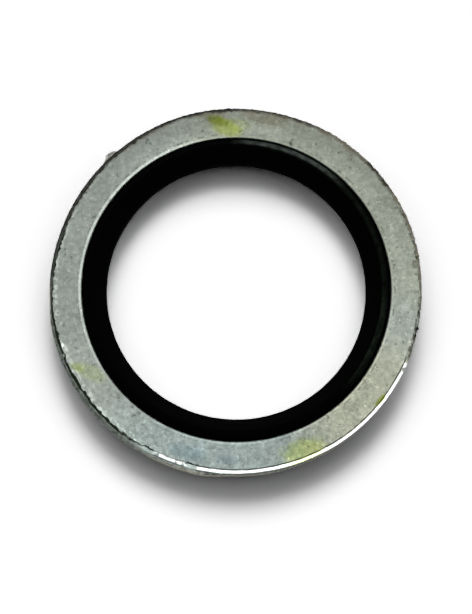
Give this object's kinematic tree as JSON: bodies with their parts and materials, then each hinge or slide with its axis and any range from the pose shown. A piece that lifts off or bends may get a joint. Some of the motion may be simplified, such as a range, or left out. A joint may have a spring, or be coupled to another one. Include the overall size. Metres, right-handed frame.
{
  "type": "bonded sealing washer",
  "caption": "Flat zinc-plated steel ring with a black rubber seal bonded into its bore, whose proud lips seal under a bolt head or pipe union.",
  "frame": {"origin": "on the washer's axis, level with the crest of the lower rubber lip that it stands on", "axes": "+Z along the axis, towards the face with the rolled-over outer edge; X and Y in the ring's plane, alike because the washer is round"},
  "size_m": [0.024, 0.024, 0.0026],
  "materials": {
    "zinc_plated_steel": "satin",
    "nitrile_rubber": "satin"
  },
  "bodies": {
    "root": {"steel_ring": "zinc_plated_steel", "rubber_seal": "nitrile_rubber"}
  },
  "joints": []
}
